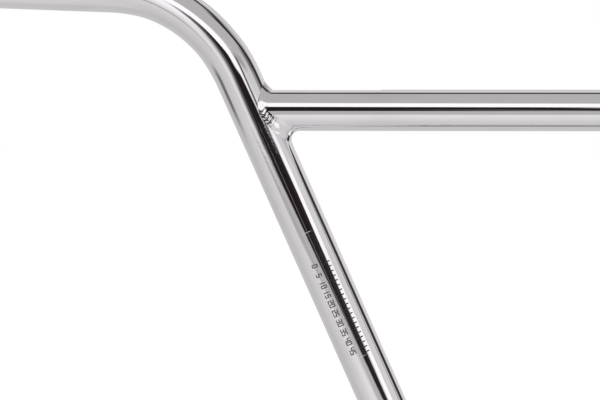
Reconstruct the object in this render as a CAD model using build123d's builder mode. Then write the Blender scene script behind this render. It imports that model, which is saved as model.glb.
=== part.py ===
from build123d import *
from math import cos, hypot, pi, radians, sin, sqrt, tan
import os

# Chrome handlebar for a BMX bike: one bent tube, a crossbar between its legs and two weld beads.
# Millimetres, standing as it does on the bike. The origin is the middle of the stem's clamp.
# +X runs along the clamp towards the rider's left, +Y back towards the rider and +Z up.

# Tube sizes
tube_d = 22.2
tube_wall = 1.3
crossbar_d = 20.0
crossbar_wall = 1.0

# Shape of the bar, measured on the centre lines
overall_width = 749.0
corner_rise = 241.3
leg_lean = 24.1
backsweep = 11.0
upsweep = 3.0
clamp_straight = 60.0
bottom_bend_r = 50.0
top_bend_r = 75.0
crossbar_drop = 57.2

# Edges
end_chamfer = 0.35

# Weld beads: ripples all round, and toe length and throat above the root at the open and the tight corner
ripples = 26
open_toe = 3.6
tight_toe = 5.5
open_throat = 1.75
tight_throat = 3.1
ripple_depth = 0.2
root_sink = 1.6
toe_sink = 0.15

tube_r = tube_d / 2
crossbar_r = crossbar_d / 2
os.makedirs("parts", exist_ok=True)

# Directions of the three straights on the +X half
along_clamp = Vector(1, 0, 0)
along_leg = Vector(sin(radians(leg_lean)), 0, cos(radians(leg_lean)))
level_grip = Vector(cos(radians(backsweep)), sin(radians(backsweep)), 0) * cos(radians(upsweep))
along_grip = level_grip + Vector(0, 0, sin(radians(upsweep)))
across_leg = Vector(along_leg.Z, 0, -along_leg.X)


def setback(first, second, radius):
    """Length from the corner of two straights to where their bend begins."""
    return radius * tan(radians(first.get_angle(second)) / 2)


# Corners of the centre line, and the middle of the bar's end
bottom_setback = setback(along_clamp, along_leg, bottom_bend_r)
top_setback = setback(along_leg, along_grip, top_bend_r)
bottom_corner = Vector(clamp_straight / 2 + bottom_setback, 0, 0)
top_corner = bottom_corner + along_leg * (corner_rise / along_leg.Z)
end_rim = tube_r * hypot(along_grip.Y, along_grip.Z)
grip_reach = (overall_width / 2 - end_rim - top_corner.X) / along_grip.X
bar_end = top_corner + along_grip * grip_reach

# Where the crossbar's centre line meets the leg's
crossbar_joint = top_corner - along_leg * (crossbar_drop / along_leg.Z)


def straight(start, end, radius, mode):
    """A round length from one point of the centre line to the next."""
    run = end - start
    with BuildSketch(Plane(origin=start, z_dir=run)) as section:
        Circle(radius)
    extrude(section.sketch, amount=run.length, mode=mode)


def bend(corner, first, second, bend_r, radius, mode):
    """A round bend that turns the centre line from the first direction to the second."""
    entry = corner - first * setback(first, second, bend_r)
    inward = (second - first * first.dot(second)).normalized()
    turn_axis = Axis(entry + inward * bend_r, first.cross(inward))
    with BuildSketch(Plane(origin=entry, x_dir=inward, z_dir=first)) as section:
        Circle(radius)
    revolve(section.sketch, axis=turn_axis, revolution_arc=first.get_angle(second), mode=mode)


def half_bar(radius, mode):
    """Everything round on the +X half of the bent tube, at this radius."""
    bend_1_start = bottom_corner - along_clamp * bottom_setback
    bend_1_end = bottom_corner + along_leg * bottom_setback
    bend_2_start = top_corner - along_leg * top_setback
    bend_2_end = top_corner + along_grip * top_setback
    straight(Vector(0, 0, 0), bend_1_start, radius, mode)
    bend(bottom_corner, along_clamp, along_leg, bottom_bend_r, radius, mode)
    straight(bend_1_end, bend_2_start, radius, mode)
    bend(top_corner, along_leg, along_grip, top_bend_r, radius, mode)
    straight(bend_2_end, bar_end, radius, mode)


# Main tube, bent twice on each side and open from end to end
with BuildPart() as main_tube:
    half_bar(tube_r, Mode.ADD)
    half_bar(tube_r - tube_wall, Mode.SUBTRACT)
    chamfer(main_tube.faces().sort_by(Axis.X)[-1].edges(), end_chamfer)
    mirror(about=Plane.YZ)

# The solid form of the +X leg, which the crossbar and the weld are shaped to
leg_start = bottom_corner + along_leg * bottom_setback
leg_end = top_corner - along_leg * top_setback
with BuildPart() as leg_form:
    straight(leg_start, leg_end, tube_r, Mode.ADD)

# The solid form of the crossbar's +X half before its end is shaped
crossbar_middle = Vector(0, 0, crossbar_joint.Z)
with BuildPart() as crossbar_form:
    straight(crossbar_middle, crossbar_joint, crossbar_r, Mode.ADD)

# Crossbar, its ends saddled to the legs
with BuildPart() as crossbar:
    add(crossbar_form.part)
    straight(crossbar_middle, crossbar_joint, crossbar_r - crossbar_wall, Mode.SUBTRACT)
    add(leg_form.part, mode=Mode.SUBTRACT)
    mirror(about=Plane.YZ)


def saddle(turn):
    """Where the two tubes' surfaces meet at this turn round the crossbar, 0 on top and pi below.

    Returns the point there and the two directions across the weld, over the crossbar and over the leg.
    """
    side, up = crossbar_r * sin(turn), crossbar_r * cos(turn)
    inset = -sqrt(tube_r**2 - side**2)
    point = crossbar_joint + Vector((inset + up * along_leg.X) / along_leg.Z, side, up)
    bar_normal = Vector(0, sin(turn), cos(turn))
    leg_normal = (across_leg * inset + Vector(0, side, 0)) * (1 / tube_r)
    line = bar_normal.cross(leg_normal).normalized()
    over_bar = line.cross(bar_normal)
    over_leg = leg_normal.cross(line)
    return point, over_bar, over_leg


def on_crossbar(point, radius):
    """The point moved straight out from the crossbar's axis to this radius."""
    out = Vector(0, point.Y, point.Z - crossbar_joint.Z)
    return Vector(point.X, 0, crossbar_joint.Z) + out.normalized() * radius


def on_leg(point, radius):
    """The point moved straight out from the leg's axis to this radius."""
    foot = crossbar_joint + along_leg * (point - crossbar_joint).dot(along_leg)
    return foot + (point - foot).normalized() * radius


def weld_section(turn, dip):
    """The bead's section at this turn: its two toes, its face between them and its root in the metal."""
    point, over_bar, over_leg = saddle(turn)
    tightness = sin(turn / 2) ** 4
    toe = open_toe + (tight_toe - open_toe) * tightness
    throat = open_throat + (tight_throat - open_throat) * tightness
    outward = (over_bar + over_leg).normalized()
    bar_toe = on_crossbar(point + over_bar * toe, crossbar_r - toe_sink)
    leg_toe = on_leg(point + over_leg * toe, tube_r - toe_sink)
    root = point - outward * root_sink
    place = Plane(origin=root, x_dir=bar_toe - root, z_dir=(bar_toe - root).cross(leg_toe - root))
    face = point + outward * (throat - dip)
    corners = [place.to_local_coords(corner) for corner in (bar_toe, face, leg_toe)]
    near, top, far = ((corner.X, corner.Y) for corner in corners)
    with BuildSketch(place) as section:
        with BuildLine():
            ThreePointArc(near, top, far)
            Polyline(far, (0, 0), near)
        make_face()
    return section.sketch


# Both weld beads: a quarter of them in ripples, a crest between two dips, and the rest mirror images
with BuildPart() as crossbar_welds:
    sections = []
    for step in range(ripples + 1):
        dip = ripple_depth if step % 2 == 0 else 0
        sections.append(weld_section(pi * step / ripples, dip))
    loft(sections, ruled=True)
    mirror(about=Plane.XZ)
    add(leg_form.part, mode=Mode.SUBTRACT)
    add(crossbar_form.part, mode=Mode.SUBTRACT)
    mirror(about=Plane.YZ)

for name, piece in {
    "main_tube": main_tube,
    "crossbar": crossbar,
    "crossbar_welds": crossbar_welds,
}.items():
    piece.part.label = name
    export_step(piece.part, f"parts/{name}.step")
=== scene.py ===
import logging
from dataclasses import dataclass, field
from enum import Enum
from math import cos, pi, radians, sin, tan

import bpy
import numpy as np
from mathutils import Matrix, Vector


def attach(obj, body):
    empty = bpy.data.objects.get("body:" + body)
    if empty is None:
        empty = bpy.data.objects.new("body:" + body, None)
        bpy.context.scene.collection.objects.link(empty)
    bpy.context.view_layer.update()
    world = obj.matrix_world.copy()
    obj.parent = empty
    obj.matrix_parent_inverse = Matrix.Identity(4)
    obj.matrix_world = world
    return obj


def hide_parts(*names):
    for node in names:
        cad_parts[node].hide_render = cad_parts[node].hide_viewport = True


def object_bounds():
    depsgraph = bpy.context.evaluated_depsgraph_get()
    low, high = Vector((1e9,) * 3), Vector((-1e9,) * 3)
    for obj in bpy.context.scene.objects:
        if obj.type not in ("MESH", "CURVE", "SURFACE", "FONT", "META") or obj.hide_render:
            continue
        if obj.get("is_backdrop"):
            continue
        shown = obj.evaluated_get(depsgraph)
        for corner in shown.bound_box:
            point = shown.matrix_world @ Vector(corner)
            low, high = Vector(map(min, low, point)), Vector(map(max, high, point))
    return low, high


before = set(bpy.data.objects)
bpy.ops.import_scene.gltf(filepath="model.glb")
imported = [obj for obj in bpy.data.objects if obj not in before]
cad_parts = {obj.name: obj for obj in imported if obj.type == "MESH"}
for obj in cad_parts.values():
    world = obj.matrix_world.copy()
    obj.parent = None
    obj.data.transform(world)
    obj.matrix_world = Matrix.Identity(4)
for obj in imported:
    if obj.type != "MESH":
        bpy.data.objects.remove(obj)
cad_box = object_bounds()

# Looks for a chrome BMX handlebar. Metres, in the frame of the CAD model: the origin is the middle of the
# stem's clamp, +X runs along the clamp to the rider's left, +Y back to the rider and +Z up.

log = logging.getLogger("handlebar")
Array = np.ndarray
Material = bpy.types.Material
Object = bpy.types.Object
Span = tuple[float, float]
Triple = tuple[float, float, float]

# Edges that turn by more than this stay sharp
SHARP_ANGLE = radians(38)


class Half(Enum):
    """The two mirror halves of the bar, by the sign of X."""

    LEFT = 1
    RIGHT = -1


class Slot(Enum):
    """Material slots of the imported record."""

    TUBE = "chrome_tube"
    WELD = "chrome_weld"


class Value:
    """A number that a shader works out: a node's output that Python's operators can be used on."""

    def __init__(self, nodes: "Nodes", socket: bpy.types.NodeSocket) -> None:
        """Keeps the node tree and the socket."""
        self.nodes = nodes
        self.socket = socket

    def __add__(self, other: "Value | float") -> "Value":
        """self + other."""
        return self.nodes.math("ADD", self, other)

    def __sub__(self, other: "Value | float") -> "Value":
        """self - other."""
        return self.nodes.math("SUBTRACT", self, other)

    def __rsub__(self, other: float) -> "Value":
        """other - self."""
        return self.nodes.math("SUBTRACT", other, self)

    def __mul__(self, other: "Value | float") -> "Value":
        """self * other."""
        return self.nodes.math("MULTIPLY", self, other)

    def __abs__(self) -> "Value":
        """Size of self without its sign."""
        return self.nodes.math("ABSOLUTE", self)

    __radd__ = __add__
    __rmul__ = __mul__

    def rise(self, start: float, end: float) -> "Value":
        """A smooth step from 0 where self is start to 1 where it is end, which may be the lower one."""
        low, high = min(start, end), max(start, end)
        inputs = {"Value": self, "From Min": low, "From Max": high}
        if start > end:
            inputs |= {"To Min": 1.0, "To Max": 0.0}
        return self.nodes.add("ShaderNodeMapRange", {"interpolation_type": "SMOOTHSTEP"}, inputs)

    def within(self, low: float, high: float, soft: float) -> "Value":
        """1 where self lies between low and high, falling to 0 over a soft edge on each side."""
        return self.rise(low - soft, low + soft) * self.rise(high + soft, high - soft)


class Nodes:
    """One node tree, and the few calls that add nodes to it."""

    def __init__(self, tree: bpy.types.NodeTree) -> None:
        """Clears the tree, to start from nothing."""
        self.tree = tree
        tree.nodes.clear()

    def add(
        self,
        kind: str,
        settings: dict[str, object] | None = None,
        inputs: dict[str | int, object] | None = None,
        output: str | int = 0,
    ) -> Value:
        """Adds a node of any kind.

        Args:
            kind: the node's type name.
            settings: its own properties, set before its sockets.
            inputs: a number, colour or Value for each named or numbered socket.
            output: the output socket to return.

        Returns:
            The chosen output, or a Value without a socket for a node that has none.
        """
        node = self.tree.nodes.new(kind)
        for name, value in (settings or {}).items():
            setattr(node, name, value)
        for name, value in (inputs or {}).items():
            if isinstance(value, Value):
                self.tree.links.new(value.socket, node.inputs[name])
            else:
                node.inputs[name].default_value = value
        return Value(self, node.outputs[output] if len(node.outputs) else None)

    def math(self, operation: str, *terms: "Value | float") -> Value:
        """One Math node on up to three numbers."""
        return self.add("ShaderNodeMath", {"operation": operation}, dict(enumerate(terms)))

    def mix(self, factor: Value, first: Value | Triple, second: Value | Triple) -> Value:
        """A colour between first, where the factor is 0, and second, where it is 1."""
        ends = [end if isinstance(end, Value) else (*end, 1.0) for end in (first, second)]
        return self.add("ShaderNodeMix", {"data_type": "RGBA"}, {0: factor, 6: ends[0], 7: ends[1]}, 2)

    def noise(self, vector: Value, scale: Triple, detail: float = 2.0) -> Value:
        """Smooth noise from 0 to 1, with this many lumps to one unit of each part of the vector."""
        place = self.add("ShaderNodeVectorMath", {"operation": "MULTIPLY"}, {0: vector, 1: scale})
        return self.add("ShaderNodeTexNoise", {}, {"Vector": place, "Scale": 1.0, "Detail": detail})

    def place(self) -> Value:
        """The point's place on the object."""
        return self.add("ShaderNodeTexCoord", {}, {}, "Object")

    def attribute(self, name: str) -> Value:
        """A vector that the mesh holds at each of its points."""
        return self.add("ShaderNodeAttribute", {"attribute_name": name}, {}, "Vector")

    def parts(self, vector: Value, axes: str) -> list[Value]:
        """The parts of a vector along the axes named, as in "XZ"."""
        return [self.add("ShaderNodeSeparateXYZ", {}, {"Vector": vector}, axis) for axis in axes]

    def bump(self, height: Value) -> Value:
        """A surface direction, bent as if the surface stood this many metres higher."""
        return self.add("ShaderNodeBump", {}, {"Strength": 1.0, "Distance": 1.0, "Height": height})

    def surface(self, inputs: dict[str, object]) -> None:
        """Ends a material with a Principled shader that has these inputs."""
        shader = self.add("ShaderNodeBsdfPrincipled", {}, inputs)
        self.add("ShaderNodeOutputMaterial", {}, {"Surface": shader})


def streaks(size: float, stretch: float = 1.0) -> Triple:
    """Scale of a noise with lumps of this size in X and Y, and 1 / stretch times as long in Z."""
    return 1 / size, 1 / size, stretch / size


def new_material(name: str) -> tuple[Material, Nodes]:
    """A material with an empty node tree.

    Args:
        name: the finish that it shows.

    Returns:
        The material and its nodes.
    """
    material = bpy.data.materials.new(name)
    material.use_nodes = True
    return material, Nodes(material.node_tree)


@dataclass(frozen=True)
class ChromePlate:
    """Bright chrome over drawn steel: almost a mirror, with soft waves and faint lines along the tube."""

    name: str = "chrome_plate"
    colour: Triple = (0.80, 0.785, 0.80)
    veil: Triple = (0.74, 0.725, 0.74)
    patch_scale: Triple = (90.0, 90.0, 25.0)
    veil_rise: Span = (0.45, 0.8)
    dull_rise: Span = (0.5, 0.85)
    roughness: float = 0.03
    dullness: float = 0.04
    wave_size: float = 0.0060
    wave_stretch: float = 0.12
    wave_height: float = 0.000030
    grain_size: float = 0.0012
    grain_stretch: float = 0.4
    grain_height: float = 0.000005
    scar_place: Span = (0.1365, 0.170)
    scar_reach: Span = (0.017, 0.006)
    scar_size: float = 0.0015
    scar_stretch: float = 0.35
    scar_height: float = 0.000035
    scar_dullness: float = 0.03

    def material(self) -> Material:
        """Colour and gloss vary in faint patches, and a bump of waves and fine grain bends the light.

        Round a place on each leg, just under its weld, heat and spatter have left the metal rough. A scar
        height of 0 leaves that out.

        Returns:
            The material, on Object coordinates and the mesh's "drawn" attribute, which is the place round
            the tube and along it.
        """
        material, nodes = new_material(self.name)
        drawn = nodes.attribute("drawn")
        waves = nodes.noise(drawn, streaks(self.wave_size, self.wave_stretch))
        grain = nodes.noise(drawn, streaks(self.grain_size, self.grain_stretch), detail=1.0)
        height = waves * self.wave_height + grain * self.grain_height
        patches = nodes.noise(drawn, self.patch_scale, detail=4.0)
        colour = nodes.mix(patches.rise(*self.veil_rise), self.colour, self.veil)
        roughness = self.roughness + self.dullness * patches.rise(*self.dull_rise)
        if self.scar_height:
            x, z = nodes.parts(nodes.place(), "XZ")
            out, up = abs(x) - self.scar_place[0], z - self.scar_place[1]
            near = nodes.math("POWER", out * out + up * up, 0.5).rise(*self.scar_reach)
            spatter = nodes.noise(drawn, streaks(self.scar_size, self.scar_stretch), detail=3.0)
            height = height + spatter * near * self.scar_height
            roughness = roughness + self.scar_dullness * near
        bump = nodes.bump(height)
        nodes.surface({"Base Color": colour, "Metallic": 1.0, "Roughness": roughness, "Normal": bump})
        return material


@dataclass(frozen=True)
class WeldPlate:
    """The same chrome over a weld bead: a little greyer and finely pitted, with shade painted dark between
    ripples.
    """

    name: str = "chrome_weld"
    colour: Triple = (0.78, 0.765, 0.78)
    pit_colour: Triple = (0.45, 0.44, 0.45)
    # Painted shade: near black laid into the valleys between the weld's ripples
    valley_painted_shade: Triple = (0.045, 0.042, 0.045)
    roughness: float = 0.10
    dullness: float = 0.2
    pit_size: float = 0.0006
    pit_rise: Span = (0.58, 0.80)
    pit_depth: float = 0.000006

    def material(self) -> Material:
        """Small dark pits where fine noise peaks, a bump from the same noise, and dull valleys with painted
        shade.

        Returns:
            The material, on Object coordinates and the mesh's "valley" attribute, which is 1 in X between
            two ripples.
        """
        material, nodes = new_material(self.name)
        grain = nodes.noise(nodes.place(), streaks(self.pit_size), detail=3.0)
        pits = grain.rise(*self.pit_rise)
        [valley] = nodes.parts(nodes.attribute("valley"), "X")
        # Painted shade: the colour turns near black in the valleys between ripples, which are also rougher
        colour = nodes.mix(valley, nodes.mix(pits, self.colour, self.pit_colour), self.valley_painted_shade)
        roughness = self.roughness + self.dullness * pits + self.dullness * valley
        bump = nodes.bump(grain * -self.pit_depth)
        nodes.surface({"Base Color": colour, "Metallic": 1.0, "Roughness": roughness, "Normal": bump})
        return material


@dataclass(frozen=True)
class BoreSteel:
    """Bare steel inside the tubes, where plating hardly reaches: dull and streaked with tarnish."""

    name: str = "bore_steel"
    steel: Triple = (0.34, 0.33, 0.32)
    tarnish: Triple = (0.16, 0.13, 0.11)
    tarnish_scale: Triple = (400.0, 400.0, 60.0)
    tarnish_rise: Span = (0.42, 0.68)
    metallic: float = 0.9
    roughness: float = 0.38
    dullness: float = 0.25

    def material(self) -> Material:
        """Tarnish in long patches along the tube, rougher than the steel.

        Returns:
            The material, which reads the mesh's "drawn" attribute.
        """
        material, nodes = new_material(self.name)
        patches = nodes.noise(nodes.attribute("drawn"), self.tarnish_scale, detail=4.0)
        amount = patches.rise(*self.tarnish_rise)
        colour = nodes.mix(amount, self.steel, self.tarnish)
        roughness = self.roughness + self.dullness * amount
        nodes.surface({"Base Color": colour, "Metallic": self.metallic, "Roughness": roughness})
        return material


@dataclass(frozen=True)
class PrintInk:
    """Black ink of the printed scale, thinner in places."""

    name: str = "print_ink"
    ink: Triple = (0.012, 0.012, 0.013)
    thin: Triple = (0.05, 0.05, 0.052)
    spot_size: float = 0.0004
    spot_rise: Span = (0.5, 0.75)
    roughness: float = 0.3
    dullness: float = 0.1

    def material(self) -> Material:
        """Ink with faint lighter spots.

        Returns:
            The material, on Object coordinates.
        """
        material, nodes = new_material(self.name)
        spots = nodes.noise(nodes.place(), streaks(self.spot_size)).rise(*self.spot_rise)
        colour = nodes.mix(spots, self.ink, self.thin)
        nodes.surface({"Base Color": colour, "Roughness": self.roughness + self.dullness * spots})
        return material


@dataclass(frozen=True)
class ClearFilm:
    """Thin clear film over the print: hardly seen, but for its cut ends and a faint milky texture."""

    name: str = "clear_film"
    colour: Triple = (0.92, 0.92, 0.93)
    roughness: float = 0.16
    alpha: float = 0.004
    mottle: float = 0.014
    mottle_scale: Triple = (40.0, 110.0, 1.0)
    mottle_rise: Span = (0.5, 0.75)
    end_alpha: float = 0.32
    end_share: float = 0.006
    end_across: Triple = (0.34, 0.66, 0.14)

    def material(self) -> Material:
        """Alpha is low, more in mottled spots, and high in a narrow line at the middle of each cut end.

        Returns:
            The material, which reads the film's "place" attribute: shares across it and along it.
        """
        material, nodes = new_material(self.name)
        place = nodes.attribute("place")
        across, along = nodes.parts(place, "XY")
        end = abs(along - 0.5).rise(0.5 - 1.5 * self.end_share, 0.5 - 0.5 * self.end_share)
        spots = nodes.noise(place, self.mottle_scale, detail=3.0).rise(*self.mottle_rise)
        ends = self.end_alpha * (end * across.within(*self.end_across))
        alpha = self.alpha + self.mottle * spots + ends
        nodes.surface({"Base Color": (*self.colour, 1.0), "Roughness": self.roughness, "Alpha": alpha})
        return material


def turned(vector: Array, axis: Array, angle: Array) -> Array:
    """Vectors turned about an axis: v cos a + (k x v) sin a + k (k . v)(1 - cos a).

    Args:
        vector: one vector, or one to each angle.
        axis: unit vector k.
        angle: angles a in radians, one to each row of the answer.

    Returns:
        One vector to each angle.
    """
    vector = np.broadcast_to(vector, (len(angle), 3))
    part = (vector @ axis)[:, None] * axis
    c, s = np.cos(angle)[:, None], np.sin(angle)[:, None]
    return vector * c + np.cross(axis, vector) * s + part * (1 - c)


def smooth(x: Array, start: float, end: float) -> Array:
    """A smooth step: t t (3 - 2 t), where t runs from 0 at start to 1 at end."""
    t = np.clip((x - start) / (end - start), 0, 1)
    return t * t * (3 - 2 * t)


def unit(vector: Array) -> Array:
    """Vectors of length 1 in the same directions."""
    return vector / np.linalg.norm(vector, axis=-1, keepdims=True)


def grid_faces(rows: int, columns: int, looped: bool) -> Array:
    """Quads between neighbours of a grid of points that are numbered row by row.

    Args:
        rows: number of rows.
        columns: number of columns.
        looped: the last row joins the first, and the last column the first.

    Returns:
        Four point numbers to each quad.
    """
    index = np.arange(rows * columns).reshape(rows, columns)
    if looped:
        index = np.pad(index, (0, 1), mode="wrap")
    corners = (index[:-1, :-1], index[:-1, 1:], index[1:, 1:], index[1:, :-1])
    return np.stack(corners, axis=-1).reshape(-1, 4)


@dataclass
class Shell:
    """A closed mesh in the making: its points, its quads and what else it holds at each point."""

    points: Array
    faces: Array
    vectors: dict[str, Array] = field(default_factory=dict)

    def outward(self) -> "Shell":
        """Turns the quads round if the shell's volume, a sum of tetrahedra from the origin, is negative."""
        a, b, c, d = (self.points[self.faces[:, k]] for k in range(4))
        volume = (a * np.cross(b, c)).sum() + (a * np.cross(c, d)).sum()
        if volume < 0:
            self.faces = self.faces[:, ::-1]
        return self

    def mirrored(self) -> "Shell":
        """The same shell on the other side of X = 0."""
        return Shell(self.points * (-1, 1, 1), self.faces[:, ::-1], dict(self.vectors))

    def joined(self, other: "Shell") -> "Shell":
        """Both shells in one."""
        points = np.vstack([self.points, other.points])
        faces = np.vstack([self.faces, other.faces + len(self.points)])
        vectors = {name: np.vstack([v, other.vectors[name]]) for name, v in self.vectors.items()}
        return Shell(points, faces, vectors)

    def piece(
        self, name: str, materials: list[Material], dressed: Array | None = None
    ) -> Object:
        """Puts the shell into the scene as one smooth-shaded piece with its sharp edges kept.

        Args:
            name: the piece's name.
            materials: its finishes.
            dressed: which of them each quad has; the first without it.

        Returns:
            The new object, riding on the part's one body.
        """
        mesh = bpy.data.meshes.new(name)
        mesh.vertices.add(len(self.points))
        mesh.vertices.foreach_set("co", self.points.astype(np.float32).ravel())
        mesh.loops.add(self.faces.size)
        mesh.loops.foreach_set("vertex_index", self.faces.astype(np.int32).ravel())
        mesh.polygons.add(len(self.faces))
        mesh.polygons.foreach_set("loop_start", np.arange(0, self.faces.size, 4, dtype=np.int32))
        mesh.update(calc_edges=True)
        for key, vectors in self.vectors.items():
            attribute = mesh.attributes.new(key, "FLOAT_VECTOR", "POINT")
            attribute.data.foreach_set("vector", vectors.astype(np.float32).ravel())
        for material in materials:
            mesh.materials.append(material)
        if dressed is not None:
            mesh.polygons.foreach_set("material_index", dressed.astype(np.int32))
        mesh.shade_smooth()
        mesh.set_sharp_from_angle(angle=SHARP_ANGLE)
        mesh.validate()
        piece = bpy.data.objects.new(name, mesh)
        bpy.context.scene.collection.objects.link(piece)
        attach(piece, "root")
        log.info("%s: %d quads", name, len(self.faces))
        return piece


@dataclass
class Geometry:
    """The bar's driving dimensions, and what follows from them on the +X half.

    They are the CAD model's, but for the tube's radius and the width, which are a hair less so that the
    round surface stays within the model's flat facets.
    """

    tube_radius: float = 0.01105
    crossbar_radius: float = 0.0100
    width: float = 0.7488
    corner_rise: float = 0.2413
    leg_lean: float = radians(24.1)
    backsweep: float = radians(11.0)
    upsweep: float = radians(3.0)
    clamp_straight: float = 0.060
    bottom_bend: float = 0.050
    top_bend: float = 0.075
    crossbar_drop: float = 0.0572

    def __post_init__(self) -> None:
        """Directions of the straights, angles of the bends, corners and lengths of the centre line."""
        self.clamp = np.array((1.0, 0.0, 0.0))
        self.leg = np.array((sin(self.leg_lean), 0.0, cos(self.leg_lean)))
        level = cos(self.upsweep)
        self.grip = np.array((cos(self.backsweep) * level, sin(self.backsweep) * level, sin(self.upsweep)))
        self.bottom_turn = float(np.arccos(self.clamp @ self.leg))
        self.top_turn = float(np.arccos(self.leg @ self.grip))
        self.bottom_setback = self.bottom_bend * tan(self.bottom_turn / 2)
        self.top_setback = self.top_bend * tan(self.top_turn / 2)
        bottom_corner = self.clamp * (self.clamp_straight / 2 + self.bottom_setback)
        self.leg_span = self.corner_rise / self.leg[2]
        self.top_corner = bottom_corner + self.leg * self.leg_span
        rim = self.tube_radius * np.hypot(self.grip[1], self.grip[2])
        self.grip_span = (self.width / 2 - rim - self.top_corner[0]) / self.grip[0]
        self.joint = self.top_corner - self.leg * (self.crossbar_drop / self.leg[2])
        self.lengths = (
            self.clamp_straight / 2,
            self.bottom_bend * self.bottom_turn,
            self.leg_span - self.bottom_setback - self.top_setback,
            self.top_bend * self.top_turn,
            self.grip_span - self.top_setback,
        )
        self.marks = np.concatenate([[0.0], np.cumsum(self.lengths)])

    def saddle(self, turn: Array, radius: float) -> Array:
        """X of the line where a tube of this radius along the crossbar meets the leg's outside.

        At a turn round the crossbar, 0 on top, the point is radius cos(turn) up and radius sin(turn) to the
        side, and it lies on the near side of a leaning cylinder.

        Args:
            turn: angles round the crossbar.
            radius: the outer or inner radius.

        Returns:
            One X to each angle, on the +X half.
        """
        side, up = radius * np.sin(turn), radius * np.cos(turn)
        inset = np.sqrt(self.tube_radius**2 - side**2)
        return self.joint[0] + (up * self.leg[0] - inset) / self.leg[2]


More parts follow.
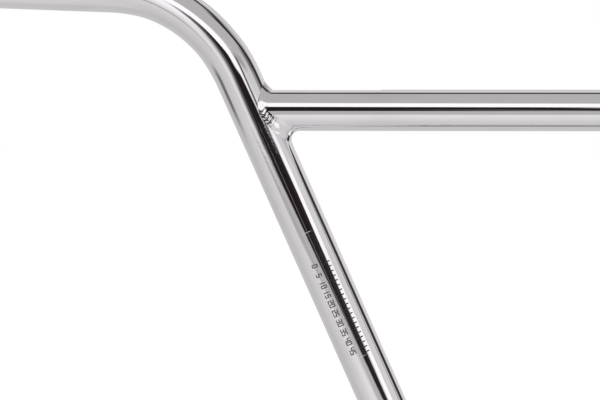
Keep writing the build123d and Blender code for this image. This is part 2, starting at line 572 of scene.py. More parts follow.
@dataclass
class BentTube:
    """The main tube: clamp straight, two bottom bends, two legs, two top bends and two grip straights."""

    bar: Geometry
    wall: float = 0.0013
    chamfer: float = 0.00035
    flattening: float = 0.045
    flattening_fade: float = 0.3
    knurl_reach: float = 0.026
    knurl_fade: float = 0.0012
    knurl_depth: float = 0.0002
    knurls_round: int = 36
    columns: int = 144
    rows_to_knurl: int = 4
    bend_rows: int = 56
    leg_rows: int = 12
    grip_rows: int = 10
    bore_step: float = 0.013

    @property
    def knurl_pitch(self) -> float:
        """Length of one diamond of the knurl, the same along the tube as round it."""
        return 2 * pi * self.bar.tube_radius / self.knurls_round

    def pressed(self, share: Array) -> Array:
        """How fully a bend is pressed flat at a share of its length: it fades towards both ends."""
        start, end = (smooth(way, 0, self.flattening_fade) for way in (share, 1 - share))
        return (start * end)[:, None]

    def centre_line(self, run: Array) -> tuple[Array, Array, Array, Array]:
        """The centre line and what stands across it.

        Each straight adds its direction times the length run of it, and each bend adds
        R (T sin a + I (1 - cos a)), where a is the angle run, T the way in and I the way to its centre.

        Args:
            run: signed lengths from the middle of the clamp, negative on the -X half.

        Returns:
            Points, two unit vectors across the line, and the way a bend presses it flat, which is as long as
            the pressing is full: all as rows of 3.
        """
        bar = self.bar
        far = np.abs(run)
        half = np.where(run < 0, -1.0, 1.0)[:, None] * (1, 0, 0) + (0, 1, 1)
        starts, spans = bar.marks[:-1], bar.lengths
        part = [np.clip(far - start, 0, span) for start, span in zip(starts, spans)]
        low, high = part[1] / bar.bottom_bend, part[3] / bar.top_bend
        low_in = unit(bar.leg - bar.clamp * (bar.leg @ bar.clamp))
        high_in = unit(bar.grip - bar.leg * (bar.grip @ bar.leg))
        points = part[0][:, None] * bar.clamp + part[2][:, None] * bar.leg + part[4][:, None] * bar.grip
        for angle, radius, way, inward in (
            (low, bar.bottom_bend, bar.clamp, low_in),
            (high, bar.top_bend, bar.leg, high_in),
        ):
            along, aside = np.sin(angle)[:, None], 1 - np.cos(angle)[:, None]
            points = points + radius * (along * way + aside * inward)
        low_axis, high_axis = np.cross(bar.clamp, low_in), np.cross(bar.leg, high_in)
        up, back, ahead = (
            turned(turned(np.array(v), low_axis, low), high_axis, high)
            for v in ((0.0, 0.0, 1.0), (0.0, 1.0, 0.0), (1.0, 0.0, 0.0))
        )
        press = self.pressed(part[1] / spans[1]) * np.cross(low_axis, ahead)
        press = press + self.pressed(part[3] / spans[3]) * np.cross(high_axis, ahead)
        return points * half, up * half, back * half, press * half

    def knurl(self, run: Array, angle: Array) -> Array:
        """Depth of the diamond knurl: the lower of two slanting triangle waves, |2 frac(x) - 1|.

        Args:
            run: signed lengths along the tube.
            angle: angles round it.

        Returns:
            How far the surface lies below the tube's radius, on a grid of run by angle.
        """
        round_count = angle[None, :] / (2 * pi) * self.knurls_round
        long_count = run[:, None] / self.knurl_pitch
        waves = (np.abs(2 * ((round_count + sign * long_count) % 1) - 1) for sign in (1, -1))
        ridge = np.minimum(*waves)
        window = smooth(self.knurl_reach - np.abs(run), 0, self.knurl_fade)[:, None]
        return self.knurl_depth * (1 - ridge) * window

    def stations(self, step: float, bend_rows: int) -> Array:
        """Signed lengths along the bar at which the mesh has a row.

        Args:
            step: distance between rows on the clamp.
            bend_rows: number of rows in a bend.

        Returns:
            The lengths, from one chamfer to the other.
        """
        marks = self.bar.marks
        count = round(self.knurl_reach / step)
        runs = [
            np.linspace(0, self.knurl_reach, count + 1),
            np.linspace(marks[1], marks[2], bend_rows),
            np.linspace(marks[2], marks[3], self.leg_rows),
            np.linspace(marks[3], marks[4], bend_rows),
            np.linspace(marks[4], marks[5] - self.chamfer, self.grip_rows),
        ]
        half = np.unique(np.round(np.concatenate(runs), 9))
        return np.concatenate([-half[:0:-1], half])

    def build(self, plate: Material, bore: Material) -> Object:
        """One closed skin along the outside, round one end, back through the bore and round the other end.

        A point stands at centre + r (up cos b + back sin b), less what the bend presses flat: the part of
        that offset towards the bend's centre is made shorter.

        Args:
            plate: finish of the outside and the rims.
            bore: finish of the inside.

        Returns:
            The piece, in place of the main tube's solid.
        """
        outer_r, inner_r = self.bar.tube_radius, self.bar.tube_radius - self.wall
        outer = self.stations(self.knurl_pitch / self.rows_to_knurl, self.bend_rows)
        inner = self.stations(self.bore_step, self.bend_rows // 2)[::-1]
        end = self.bar.marks[-1]
        run = np.concatenate([outer, [end, end], inner, [-end, -end]])
        rims = np.array([outer_r - self.chamfer, inner_r + self.chamfer])
        sides = np.full(len(outer), outer_r), np.full(len(inner), inner_r)
        radius = np.concatenate([sides[0], rims, sides[1], rims[::-1]])
        angle = np.linspace(0, 2 * pi, self.columns, endpoint=False)
        points, up, back, press = self.centre_line(run)
        reach = np.broadcast_to(radius[:, None], (len(run), self.columns)).copy()
        reach[: len(outer)] -= self.knurl(outer, angle)
        spoke = up[:, None] * np.cos(angle)[None, :, None] + back[:, None] * np.sin(angle)[None, :, None]
        offset = reach[..., None] * spoke
        inward = (offset * press[:, None]).sum(-1, keepdims=True)
        offset = offset - self.flattening * inward * press[:, None]
        skin = points[:, None] + offset
        drawn = np.stack(np.broadcast_arrays(
            outer_r * np.cos(angle)[None], outer_r * np.sin(angle)[None], run[:, None]), axis=-1)
        faces = grid_faces(len(run), self.columns, True)
        shell = Shell(skin.reshape(-1, 3), faces, {"drawn": drawn.reshape(-1, 3)})
        row = np.repeat(np.arange(len(run)), self.columns)
        first = len(outer) + 2
        inside = (row >= first) & (row < first + len(inner) - 1)
        piece = shell.outward().piece("bent_tube", [plate, bore], inside)
        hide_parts("main_tube")
        return piece


@dataclass
class CrossTube:
    """The crossbar: a thinner tube with its ends saddled to the round legs."""

    bar: Geometry
    wall: float = 0.0010
    drawn_shift: float = 1.0
    columns: int = 128
    rows: int = 33

    def build(self, plate: Material, bore: Material) -> Object:
        """One closed skin: X is a share of the saddle line's X, and Y and Z go round a circle.

        The shift in its "drawn" attribute keeps its pattern from repeating the main tube's.

        Args:
            plate: finish of the outside.
            bore: finish of the inside, which the legs close.

        Returns:
            The piece, in place of the crossbar's solid.
        """
        angle = np.linspace(0, 2 * pi, self.columns, endpoint=False)
        share = np.linspace(-1, 1, self.rows)
        share = np.concatenate([share, share[::-1]])
        radii = (self.bar.crossbar_radius, self.bar.crossbar_radius - self.wall)
        radius = np.repeat(radii, self.rows)
        reach = np.stack([self.bar.saddle(angle, r) for r in radii])
        x = share[:, None] * reach.repeat(self.rows, axis=0)
        y = radius[:, None] * np.sin(angle)
        z = self.bar.joint[2] + radius[:, None] * np.cos(angle)
        points = np.stack([x, y, z], axis=-1)
        drawn = np.stack([y, z - self.bar.joint[2], x + self.drawn_shift], axis=-1)
        faces = grid_faces(len(share), self.columns, True)
        row = np.repeat(np.arange(len(share)), self.columns)
        inside = row >= self.rows - 1
        shell = Shell(points.reshape(-1, 3), faces, {"drawn": drawn.reshape(-1, 3)})
        piece = shell.outward().piece("cross_tube", [plate, bore], inside)
        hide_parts("crossbar")
        return piece


@dataclass(frozen=True)
class Corner:
    """The bead's section at one place round the crossbar: its toes' lengths and how hollow its face is.

    A hollow of 0 is flat from toe to toe, and with 1 the face runs smoothly into both tubes.
    """

    bar_toe: float
    leg_toe: float
    hollow: float


@dataclass
class WeldBeads:
    """The two beads that join the crossbar to the legs, laid in overlapping ripples."""

    bar: Geometry
    top: Corner = Corner(0.0020, 0.0043, 0.15)
    side: Corner = Corner(0.0050, 0.0023, 1.00)
    bottom: Corner = Corner(0.0058, 0.0066, 0.66)
    ripples: int = 34
    rows_to_ripple: int = 18
    across: int = 26
    rippled: tuple[float, float, float, float] = (-0.60, -0.46, -0.10, 0.05)
    ridged: Span = (0.84, 0.97)
    ridge_share: float = 0.6
    ripple_depth: float = 0.00018
    smooth_depth: float = 0.00001
    depth_drift: float = 0.4
    ripple_drift: float = 0.35
    ripple_bow: float = 0.60
    bow_lean: float = 1.8
    crest_power: float = 0.8
    crest_level: float = 0.55
    valley_fall: Span = (0.72, 0.45)
    valley_side: Span = (0.38, 0.60)
    lump: float = 0.00065
    lump_middle: float = radians(121)
    lump_spread: float = radians(26)
    toe_sink: float = 0.00003
    root_sink: float = 0.0009
    unevenness: float = 0.03
    toe_scallop: float = 0.05
    drift_counts: tuple[int, int] = (2, 7)
    drift_sizes: Span = (0.2, 0.5)
    seed: int = 11

    def round_blend(self, turn: Array, size: str) -> Array:
        """One size of the section all round, a + b cos(turn) + c cos(2 turn) through the three corners."""
        top, side, bottom = (getattr(corner, size) for corner in (self.top, self.side, self.bottom))
        a, b, c = (top + bottom + 2 * side) / 4, (top - bottom) / 2, (top + bottom - 2 * side) / 4
        return a + b * np.cos(turn) + c * np.cos(2 * turn)

    def drift(self, turn: Array, rng: np.random.Generator) -> Array:
        """Slow uneven change round the bead, about 1 at most: a few sine waves with random starts."""
        count = np.arange(*self.drift_counts)
        start = rng.uniform(0, 2 * pi, len(count))
        size = rng.uniform(*self.drift_sizes, len(count))
        return (size[:, None] * np.sin(count[:, None] * turn + start[:, None])).sum(axis=0)

    def swelling(self, turn: Array) -> Array:
        """Height of the lump low on each side, where the weld was closed: h exp(-((t - m) / w)^2)."""
        from_top = pi - np.abs(turn - pi)
        return self.lump * np.exp(-(((from_top - self.lump_middle) / self.lump_spread) ** 2))

    def full_share(self, turn: Array) -> Array:
        """How fully rippled the bead is: 1 low on a side, less on top, 0 where the puddle ran smooth.

        Args:
            turn: angles round the crossbar, whose cosine is the height that the ripples are placed by.

        Returns:
            One share to each angle.
        """
        height = np.cos(turn)
        low, low_full, high_full, high = self.rippled
        on_side = smooth(height, low, low_full) * smooth(height, high, high_full)
        return on_side + self.ridge_share * smooth(height, *self.ridged)

    def section_frame(self, turn: Array) -> tuple[Array, Array, Array]:
        """Where the tubes' surfaces meet, and the directions across the weld over each of them.

        The line's own direction is across both surfaces' normals, and each direction across the weld is
        square to it within one surface.

        Args:
            turn: angles round the crossbar, 0 on top.

        Returns:
            Points, directions over the crossbar and directions over the leg.
        """
        bar, radius = self.bar, self.bar.crossbar_radius
        bar_normal = np.stack([np.zeros_like(turn), np.sin(turn), np.cos(turn)], -1)
        point = radius * bar_normal + (0, 0, bar.joint[2])
        point[:, 0] = bar.saddle(turn, radius)
        foot = bar.joint + ((point - bar.joint) @ bar.leg)[:, None] * bar.leg
        leg_normal = unit(point - foot)
        line = unit(np.cross(bar_normal, leg_normal))
        return point, np.cross(line, bar_normal), np.cross(leg_normal, line)

    def bead(self, rng: np.random.Generator) -> Shell:
        """The +X bead as one closed ring.

        Across the bead the face is a parabola from toe to toe, (1 - s)^2 B + 2 s (1 - s) C + s^2 L. B and L
        are the toes on the bar and the leg, and C lies between their middle and the line where the tubes
        meet. The lump and the ripples raise it by w (lump + depth (c^power - level)), where
        w = sin^2(pi s^lean) falls to nothing at the toes and c = |sin(pi n)| is the crest of ripple n. The
        count n runs along the bead and bows forward at mid face. The ring closes behind through a root sunk
        in the metal. The "valley" attribute is 1 in X where the crest is low, the bead is fully rippled and
        s is on the leg's side.

        Args:
            rng: the source of its unevenness.

        Returns:
            The bead's shell.
        """
        bar = self.bar
        turn = np.linspace(0, 2 * pi, self.ripples * self.rows_to_ripple, endpoint=False)
        point, over_bar, over_leg = self.section_frame(turn)
        outward = unit(over_bar + over_leg)
        step = np.linalg.norm(np.diff(point, axis=0, append=point[:1]), axis=1)
        length = np.concatenate([[0.0], np.cumsum(step)[:-1]]) / step.sum()
        count = length * self.ripples + self.ripple_drift * self.drift(turn, rng)
        full = self.full_share(turn)
        scallop = self.toe_scallop * full * np.abs(np.sin(pi * count))
        bar_reach = self.round_blend(turn, "bar_toe") * (1 + self.unevenness * self.drift(turn, rng))
        leg_reach = 1 + self.unevenness * self.drift(turn, rng) + scallop
        leg_reach = self.round_blend(turn, "leg_toe") * leg_reach
        bar_toe = point + over_bar * bar_reach[:, None]
        hub = np.stack([bar_toe[:, 0], np.zeros_like(turn), np.full_like(turn, bar.joint[2])], -1)
        bar_toe = hub + unit(bar_toe - hub) * (bar.crossbar_radius - self.toe_sink)
        leg_toe = point + over_leg * leg_reach[:, None]
        foot = bar.joint + ((leg_toe - bar.joint) @ bar.leg)[:, None] * bar.leg
        leg_toe = foot + unit(leg_toe - foot) * (bar.tube_radius - self.toe_sink)
        share = np.linspace(0, 1, self.across)[None, :]
        s = share[..., None]
        middle = (bar_toe + leg_toe) / 2
        pull = middle + self.round_blend(turn, "hollow")[:, None] * (point - middle)
        face = (1 - s) ** 2 * bar_toe[:, None] + 2 * s * (1 - s) * pull[:, None] + s**2 * leg_toe[:, None]
        bow = np.sin(pi * share**self.bow_lean)
        crest = np.abs(np.sin(pi * (count[:, None] + self.ripple_bow * bow)))
        depth = self.smooth_depth + (self.ripple_depth - self.smooth_depth) * full
        depth = (depth * (1 + self.depth_drift * self.drift(turn, rng)))[:, None]
        ripple = depth * (crest**self.crest_power - self.crest_level)
        height = bow**2 * (self.swelling(turn)[:, None] + ripple)
        face = face + outward[:, None] * height[..., None]
        root = (point - outward * self.root_sink)[:, None]
        ring = np.concatenate([face, root], axis=1)
        # Where the weld's plate paints shade between ripples and roughens them
        valley = np.zeros(ring.shape)
        low = smooth(crest, *self.valley_fall) * smooth(share, *self.valley_side)
        valley[:, :-1, 0] = low * full[:, None]
        faces = grid_faces(len(turn), self.across + 1, True)
        return Shell(ring.reshape(-1, 3), faces, {"valley": valley.reshape(-1, 3)}).outward()

    def build(self, plate: Material) -> Object:
        """Both beads as one piece, each with its own unevenness.

        Args:
            plate: their finish.

        Returns:
            The piece, in place of the beads' solids.
        """
        rng = np.random.default_rng(self.seed)
        beads = self.bead(rng).joined(self.bead(rng).mirrored())
        piece = beads.piece("weld_beads", [plate])
        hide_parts("crossbar_welds")
        return piece


@dataclass
class LegLabel:
    """The label on the front of the -X leg: a plain scale of numbers and ticks under a thin clear film.

    Places on the leg are a length down from the top corner and an angle of the surface from straight ahead,
    positive towards +X.
    """

    bar: Geometry
    half: Half = Half.RIGHT
    film_down: Span = (0.1275, 0.1935)
    film_turn: Span = (radians(-30), radians(32))
    film_rows: int = 60
    film_columns: int = 20
    film_top: float = 0.00007
    ink_top: float = 0.00004
    sink: float = 0.00002
    first_mark: float = 0.1445
    number_step: float = 0.0050
    number_value: int = 5
    numbers: int = 10
    stroke_columns: int = 4
    stroke: float = 0.00046
    digit_wide: float = 0.0012
    digit_tall: float = 0.0026
    digit_pitch: float = 0.0019
    digit_foot: float = radians(-20.5)
    tick_wide: float = 0.0006
    short_tick: float = 0.0015
    long_tick: float = 0.0025
    tick_foot: float = radians(27.0)

    @property
    def axis(self) -> tuple[Array, Array]:
        """The top corner and the way up the leg, on the label's half."""
        mirror = np.array((self.half.value, 1, 1))
        return self.bar.top_corner * mirror, self.bar.leg * mirror

    def on_leg(self, down: Array, angle: Array, lift: float) -> Array:
        """Points of the leg's surface: axis + (radius + lift)(front cos a + side sin a).

        Args:
            down: lengths down the leg from the top corner.
            angle: angles of the surface.
            lift: height over the metal.

        Returns:
            The points, on the grid that the two arrays make together.
        """
        corner, leg = self.axis
        front = np.array((0.0, -1.0, 0.0))
        side = np.cross(front, leg)
        side = side * np.sign(side[0])
        out = np.cos(angle)[..., None] * front + np.sin(angle)[..., None] * side
        return corner - down[..., None] * leg + (self.bar.tube_radius + lift) * out

    def slabs(self, down: Array, angle: Array, top: float) -> Shell:
        """Thin closed slabs laid on the leg, one to each entry of the first axis.

        Each is a skin over a grid with one more row all round, and that border is sunk into the metal.

        Args:
            down: lengths, shaped slabs by rows by columns.
            angle: angles, in the same shape.
            top: height of the upper side.

        Returns:
            All of them as one shell, with shares across and along each one at its points.
        """
        count, rows, columns = down.shape
        upper = self.on_leg(down, angle, top)
        lower = self.on_leg(down, angle, -self.sink)
        points = np.concatenate([upper.reshape(count, -1, 3), lower.reshape(count, -1, 3)], axis=1)
        size = rows * columns
        sheet = grid_faces(rows, columns, False)
        index = np.arange(size).reshape(rows, columns)
        border = np.concatenate([index[0], index[1:, -1], index[-1, -2::-1], index[-2:0:-1, 0]])
        ahead = np.roll(border, -1)
        walls = np.stack([border, border + size, ahead + size, ahead], axis=-1)
        one = np.vstack([sheet, sheet[:, ::-1] + size, walls])
        faces = (one[None] + (np.arange(count) * 2 * size)[:, None, None]).reshape(-1, 4)
        shares = (np.linspace(0, 1, number) for number in (rows, columns))
        along, across = np.meshgrid(*shares, indexing="ij")
        place = np.stack([across, along, np.zeros_like(along)], -1).reshape(1, -1, 3)
        place = np.broadcast_to(np.concatenate([place, place], axis=1), points.shape)
        return Shell(points.reshape(-1, 3), faces, {"place": place.reshape(-1, 3)})

    def facing_out(self, shell: Shell) -> Shell:
        """Turns the quads so that the first one faces away from the leg's axis."""
        a, b, c = (shell.points[shell.faces[0, k]] for k in range(3))
        corner, leg = self.axis
        away = a - corner - ((a - corner) @ leg) * leg
        if np.cross(b - a, c - b) @ away < 0:
            shell.faces = shell.faces[:, ::-1]
        return shell

    def bars(self, down: Array, angle: Array) -> Shell:
        """Straight bars of ink, each between two lengths down the leg and two angles.

        Args:
            down: two lengths to each bar.
            angle: two angles to each bar.

        Returns:
            All of them as one shell.
        """
        share = np.linspace(0, 1, self.stroke_columns)
        down = np.repeat(down[:, :, None], len(share), axis=2)
        angle = angle[:, :1] + (angle[:, 1:] - angle[:, :1]) * share
        return self.facing_out(self.slabs(down, np.repeat(angle[:, None], 2, axis=1), self.ink_top))

    def number_bars(self) -> Shell:
        """Plain numbers in digits of up to seven straight strokes, which read down the leg.

        A stroke is named by its place in the digit: top, middle or base, on the near side up or low, on the
        far side up or low, or a stem in the middle. Its four sizes are its ends along the number, then its
        ends upwards.

        Returns:
            All the strokes as one shell.
        """
        wide, tall, half = self.digit_wide, self.digit_tall, self.stroke / 2
        mid = tall / 2
        top, middle, base = ((0, wide, level, level) for level in (tall, mid, 0))
        near_up, near_low = (0, 0, mid, tall), (0, 0, 0, mid)
        far_up, far_low = (wide, wide, mid, tall), (wide, wide, 0, mid)
        stem = (wide / 2, wide / 2, 0, tall)
        digits = {
            "0": (top, base, near_low, far_low, near_up, far_up),
            "1": (stem,),
            "2": (top, middle, base, far_up, near_low),
            "3": (top, middle, base, far_up, far_low),
            "4": (middle, near_up, far_up, far_low),
            "5": (top, middle, base, near_up, far_low),
        }
        strokes = []
        for number in range(self.numbers):
            text = str(self.number_value * number)
            start = self.first_mark + number * self.number_step - self.digit_pitch * len(text) / 2
            for place, digit in enumerate(text):
                shift = start + place * self.digit_pitch
                strokes += [np.add(stroke, (shift, shift, 0, 0)) for stroke in digits[digit]]
        near, far, low, high = np.array(strokes).T
        down = np.stack([near - half, far + half], axis=1)
        angle = self.digit_foot + np.stack([low - half, high + half], axis=1) / self.bar.tube_radius
        return self.bars(down, angle)

    def tick_bars(self) -> Shell:
        """A tick at each number and a shorter one between two, on the other side of the leg's front."""
        count = np.arange(2 * self.numbers)
        middle = self.first_mark + count * self.number_step / 2
        tall = np.where(count % 2 == 0, self.long_tick, self.short_tick) / self.bar.tube_radius
        down = middle[:, None] + np.array((-0.5, 0.5)) * self.tick_wide
        foot = np.full(len(tall), self.tick_foot)
        return self.bars(down, np.stack([foot - tall, foot], axis=1))

    def build(self, film: Material, ink: Material) -> list[Object]:
        """The film as one slab, and under it the numbers and the ticks.

        Args:
            film: finish of the film.
            ink: finish of the print.

        Returns:
            The two pieces.
        """
        lengths = np.linspace(*self.film_down, self.film_rows)
        angles = np.linspace(*self.film_turn, self.film_columns)
        down, angle = np.meshgrid(lengths, angles, indexing="ij")
        sheet = self.facing_out(self.slabs(down[None], angle[None], self.film_top))
        marks = self.number_bars().joined(self.tick_bars())
        return [sheet.piece("label_film", [film]), marks.piece("label_scale", [ink])]


@dataclass(frozen=True)
class Zone:
    """A soft-edged part of the studio's walls.

    Azimuth runs from the front to +X and elevation from the horizon up, both in degrees, and each has a low
    edge, a high edge and half the softness of both. The level edges climb by the tilt with each degree of
    azimuth, and the upright ones move by the slant with each degree of elevation.
    """

    tone: float
    azimuth: Triple
    elevation: Triple
    tilt: float = 0.0
    slant: float = 0.0


@dataclass
class Studio:
    """What stands round the bar: walls and lamps that chrome mirrors, a floor, a lamp and the camera.

    A tone is how bright the plate mirrors something, from 0 to 255. A Span of two angles in degrees says
    where a tone starts to show and where it shows in full: a side is turned from the front either way, a
    height lies up from the horizon, and a roll goes round X, from the front up. The dark seam overhead lies
    between two angles from straight up to the back, where the direction points up by enough.
    """

    bar: Geometry
    plate_share: float = 0.79
    tint: Triple = (1.004, 0.996, 1.004)
    warmth: Triple = (0.006, 0.0, 0.0015)
    wall: float = 188.0
    wall_front: float = 204.0
    front_side: Span = (110, 50)
    wall_back: float = 206.0
    back_azimuths: tuple[Span, Span] = ((105, 130), (-162, -172))
    back_floor: float = 192.0
    back_floor_side: Span = (110, 140)
    back_floor_height: Span = (0, -15)
    ceiling: float = 176.0
    ceiling_height: Span = (22, 42)
    ceiling_side: Span = (165, 130)
    zenith_height: Span = (55, 70)
    floor_near: float = 221.0
    floor_mid: float = 199.0
    floor_mid_height: Span = (-28, -80)
    floor_far: float = 192.0
    floor_far_roll: Span = (-90, -110)
    floor_far_height: Span = (0, -40)
    floor_below: float = 112.0
    floor_below_roll: Triple = (-102, -90, 5)
    floor_below_height: Span = (-67, -75)
    floor_front_side: Span = (60, 18)
    floor_front_height: Span = (-12, -18)
    floor_height: Span = (-45, -65)
    zones: tuple[Zone, ...] = (
        # The wall at the right and its ledge
        Zone(206, (56, 100, 6), (-14, 27, 3)),
        Zone(158, (34, 60, 3), (26, 34, 3)),
        # A pale strip left of the card, and its brighter core
        Zone(222, (-38, -17, 4), (-11, 10, 3)),
        Zone(243, (-28, -17, 3), (-4, 20, 4)),
        # The lamps in front, over the card and at its right
        Zone(253, (-24, 25, 2), (17.2, 40, 2), -0.25),
        Zone(252, (38.5, 56, 2), (-16, 11.3, 1.5), 0.2),
        # Grey bands under the card and at its lower left
        Zone(177, (-24, 16, 3), (-11.5, 2, 2)),
        Zone(177, (-8, 16, 3), (-24.5, -8, 1.5)),
        Zone(167, (-42, -19, 5), (-10.5, -6, 1.2), 0.2),
        # The dark card in front: itself, its upper left, its right end, a greyer corner and a pale line
        Zone(27, (-15.8, 29, 1.8), (-4.3, 11, 1), 0.09, 0.35),
        Zone(27, (-14.5, 5, 1.4), (4, 18.4, 1.2), -0.2, 0.2),
        Zone(36, (19, 29.5, 1.5), (-4, 15.5, 1.2), 0.0, 0.6),
        Zone(92, (-17, -9, 3), (-4, 19, 3)),
        Zone(112, (3.8, 7.4, 1.5), (-4, 3.0, 1.2), 0.0, -1.1),
        # Dark gaps between the lamp and the ledge and at the wall's far edge
        Zone(75, (29, 36, 1.5), (15, 28, 2)),
        Zone(112, (83, 104, 4), (27, 42, 4)),
        Zone(48, (105, 127, 4), (-15, 60, 6), 0.0, -0.2),
        # Cards and lamps behind, for views of the bar's back
        Zone(60, (171, 190, 3), (-6, 22, 4)),
        Zone(45, (-152, -137, 3), (6, 45, 4)),
        Zone(252, (-133, -112, 3), (4, 55, 5)),
        Zone(60, (128, 148, 3), (-45, -16, 4)),
        Zone(250, (100, 122, 3), (-50, -16, 4)),
    )
    seam: float = 48.0
    seam_back: Triple = (15.5, 29.0, 2.0)
    seam_up: Span = (0.6, 0.8)
    floor_colour: Triple = (0.80, 0.80, 0.80)
    floor_glow: float = 0.56
    floor_drop: float = 0.0004
    floor_reach: float = 30.0
    flag_tone: float = 108.0
    flag_out: float = 0.546
    flag_back: Triple = (-0.06, 0.17, 0.05)
    flag_up: Triple = (-0.286, -0.20, 0.022)
    lamp_power: float = 9.0
    lamp_size: float = 1.2
    lamp_place: Triple = (0.5, -0.9, 1.7)
    lens: float = 98.04
    sensor: float = 36.0
    nearest: float = 0.01
    aim: Triple = (0.04877, 0.0, -0.1010)
    distance: float = 0.800
    camera_pitch: float = radians(-2.057)
    camera_yaw: float = radians(-2.863)
    camera_roll: float = radians(0.094)

    def light(self, tone: float) -> float:
        """Strength of light that the plate mirrors as this tone of 0 to 255."""
        share = tone / 255
        linear = ((share + 0.055) / 1.055) ** 2.4
        return linear / self.plate_share

    def painted(self, level: Value | float, tone: float, mask: Value) -> Value:
        """The level with this tone painted over it where the mask is 1."""
        return level + (self.light(tone) - level) * mask

    def zoned(self, level: Value, zone: Zone, azimuth: Value, elevation: Value) -> Value:
        """The level with one zone painted over it."""
        upright = azimuth - zone.slant * elevation if zone.slant else azimuth
        flat = elevation - zone.tilt * azimuth if zone.tilt else elevation
        return self.painted(level, zone.tone, upright.within(*zone.azimuth) * flat.within(*zone.elevation))

    def build_walls(self) -> None:
        """The world: light by direction for what mirrors or is lit, and plain white for the camera."""
        world = bpy.data.worlds.new("studio")
        bpy.context.scene.world = world
        world.use_nodes = True
        nodes = Nodes(world.node_tree)
        direction = nodes.add("ShaderNodeTexCoord", {}, {}, "Generated")
        x, y, z = nodes.parts(direction, "XYZ")
        front = 0.0 - y
        degree = 180 / pi
        azimuth = nodes.math("ARCTAN2", x, front) * degree
        height = nodes.math("ARCSINE", z) * degree
        roll = nodes.math("ARCTAN2", z, front) * degree
        side = abs(azimuth)
        # Walls and ceiling
        back = [azimuth.rise(*span) for span in self.back_azimuths]
        back_floor = side.rise(*self.back_floor_side) * height.rise(*self.back_floor_height)
        ceiling = height.rise(*self.ceiling_height) * side.rise(*self.ceiling_side)
        level = self.painted(self.light(self.wall), self.wall_front, side.rise(*self.front_side))
        level = self.painted(level, self.wall_back, back[0] + back[1])
        level = self.painted(level, self.back_floor, back_floor)
        level = self.painted(level, self.ceiling, ceiling)
        level = self.painted(level, self.ceiling, height.rise(*self.zenith_height))
        # Floor
        far = roll.rise(*self.floor_far_roll) * height.rise(*self.floor_far_height)
        below = roll.within(*self.floor_below_roll) * height.rise(*self.floor_below_height)
        floor = self.light(self.floor_near)
        floor = self.painted(floor, self.floor_mid, height.rise(*self.floor_mid_height))
        floor = self.painted(floor, self.floor_far, far)
        floor = self.painted(floor, self.floor_below, below)
        in_front = height.rise(*self.floor_front_height) * side.rise(*self.floor_front_side)
        level = level + (floor - level) * nodes.math("MAXIMUM", in_front, height.rise(*self.floor_height))
        # Cards, lamps and gaps
        for zone in self.zones:
            level = self.zoned(level, zone, azimuth, height)
        behind = nodes.math("ARCTAN2", y, z) * degree
        level = self.painted(level, self.seam, behind.within(*self.seam_back) * z.rise(*self.seam_up))
        grey = nodes.add("ShaderNodeCombineXYZ", {}, {"X": level, "Y": level, "Z": level})
        colour = nodes.add(
            "ShaderNodeVectorMath", {"operation": "MULTIPLY_ADD"}, {0: grey, 1: self.tint, 2: self.warmth})
        camera = nodes.add("ShaderNodeLightPath", {}, {}, "Is Camera Ray")
        colour = nodes.mix(camera, colour, (1.0, 1.0, 1.0))
        background = nodes.add("ShaderNodeBackground", {}, {"Color": colour, "Strength": 1.0})
        nodes.add("ShaderNodeOutputWorld", {}, {"Surface": background})

    def panel(self, name: str, corners: list[Triple], material: Material) -> Object:
        """One flat panel with four corners.

        Args:
            name: the panel's name.
            corners: its corners in order round it.
            material: its finish.

        Returns:
            The new object.
        """
        mesh = bpy.data.meshes.new(name)
        mesh.from_pydata(corners, [], [(0, 1, 2, 3)])
        mesh.materials.append(material)
        panel = bpy.data.objects.new(name, mesh)
        bpy.context.scene.collection.objects.link(panel)
        return panel

    def build_floor(self) -> None:
        """A wide pale floor under the clamp. Its own little glow makes it white, and it keeps a shadow."""
        material, nodes = new_material("pale_floor")
        matt = nodes.add("ShaderNodeBsdfDiffuse", {}, {"Color": (*self.floor_colour, 1.0)})
        white = (1.0, 1.0, 1.0, 1.0)
        glow = nodes.add("ShaderNodeEmission", {}, {"Color": white, "Strength": self.floor_glow})
        both = nodes.add("ShaderNodeAddShader", {}, {0: matt, 1: glow})
        nodes.add("ShaderNodeOutputMaterial", {}, {"Surface": both})
        reach, level = self.floor_reach, -self.bar.tube_radius - self.floor_drop
        signs = ((-1, -1), (1, -1), (1, 1), (-1, 1))
        floor = self.panel("floor", [(reach * x, reach * y, level) for x, y in signs], material)
        floor.visible_glossy = False
        floor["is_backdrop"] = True

    def build_flag(self) -> None:
        """A small grey card off the -X side, seen in chrome alone, as a soft streak down the leg's edge."""
        material, nodes = new_material("grey_flag")
        y, z = nodes.parts(nodes.place(), "YZ")
        corner = self.bar.top_corner
        mask = y.within(*self.flag_back) * (z - corner[2]).within(*self.flag_up)
        grey = self.light(self.flag_tone)
        card = nodes.add("ShaderNodeEmission", {}, {"Color": (grey, grey, grey, 1.0)})
        clear = nodes.add("ShaderNodeBsdfTransparent")
        both = nodes.add("ShaderNodeMixShader", {}, {0: mask, 1: clear, 2: card})
        nodes.add("ShaderNodeOutputMaterial", {}, {"Surface": both})
        x = -corner[0] - self.flag_out
        (front, back, side_soft), (low, high, edge_soft) = self.flag_back, self.flag_up
        near, far = front - side_soft, back + side_soft
        bottom, top = corner[2] + low - edge_soft, corner[2] + high + edge_soft
        flag = self.panel(
            "grey_flag", [(x, near, bottom), (x, far, bottom), (x, far, top), (x, near, top)], material)
        flag.visible_camera = flag.visible_diffuse = flag.visible_shadow = False
        flag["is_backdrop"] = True

    def build_lamp(self) -> None:
        """One large soft lamp, overhead and to the front, which chrome doesn't mirror as it does the walls."""
        lamp = bpy.data.lights.new("soft_lamp", "AREA")
        lamp.shape = "SQUARE"
        lamp.size = self.lamp_size
        lamp.energy = self.lamp_power
        holder = bpy.data.objects.new("soft_lamp", lamp)
        holder.location = self.lamp_place
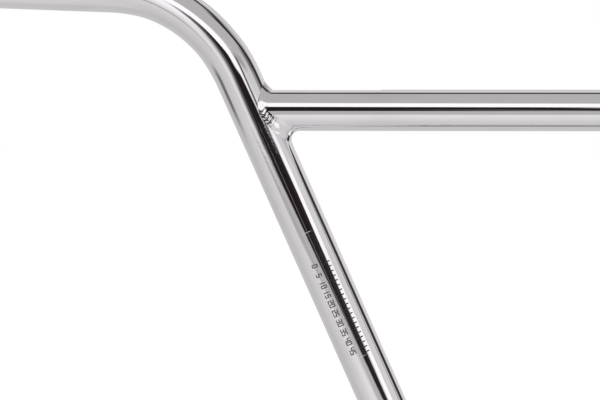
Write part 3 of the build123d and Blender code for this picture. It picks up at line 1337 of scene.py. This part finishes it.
        holder.rotation_euler = (-Vector(self.lamp_place)).to_track_quat("-Z", "Y").to_euler()
        holder.visible_glossy = False
        holder.visible_camera = False
        bpy.context.scene.collection.objects.link(holder)

    def build_camera(self) -> None:
        """The photograph's camera: in front, level with the crossbar, aimed below the -X top corner."""
        camera = bpy.data.cameras.new("camera")
        camera.sensor_width = self.sensor
        camera.lens = self.lens
        camera.clip_start = self.nearest
        holder = bpy.data.objects.new("camera", camera)
        bpy.context.scene.collection.objects.link(holder)
        bpy.context.scene.camera = holder
        pitch, yaw, roll = self.camera_pitch, self.camera_yaw, self.camera_roll
        ahead = Vector((sin(yaw) * cos(pitch), cos(yaw) * cos(pitch), sin(pitch)))
        corner = Vector(self.bar.top_corner * (-1, 1, 1))
        level_right = ahead.cross(Vector((0, 0, 1))).normalized()
        level_up = level_right.cross(ahead)
        right = level_right * cos(roll) + level_up * sin(roll)
        up = right.cross(ahead)
        turn = Matrix((right, up, -ahead)).transposed().to_4x4()
        holder.matrix_world = Matrix.Translation(corner + Vector(self.aim) - ahead * self.distance) @ turn

    def build(self) -> None:
        """Walls, floor, flag, lamp and camera, and the plain view of colours."""
        self.build_walls()
        self.build_floor()
        self.build_flag()
        self.build_lamp()
        self.build_camera()
        bpy.context.scene.view_settings.view_transform = "Standard"


def main() -> None:
    """Builds the bar's pieces in order, then the studio round them, and logs the two boxes."""
    logging.basicConfig(level=logging.INFO, format="%(name)s: %(message)s")
    bar = Geometry()
    bore = BoreSteel().material()
    BentTube(bar).build(ChromePlate().material(), bore)
    crossbar_plate = ChromePlate(
        "chrome_crossbar", wave_height=0.000012, grain_height=0.0000015, scar_height=0.0)
    CrossTube(bar).build(crossbar_plate.material(), bore)
    WeldBeads(bar).build(WeldPlate().material())
    LegLabel(bar).build(ClearFilm().material(), PrintInk().material())
    Studio(bar).build()
    sizes = {"cad": [list(corner) for corner in cad_box], "visual": [list(corner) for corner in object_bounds()]}
    for name, corners in sizes.items():
        log.info("%s box %s", name, corners)


if __name__ == "__main__":
    main()
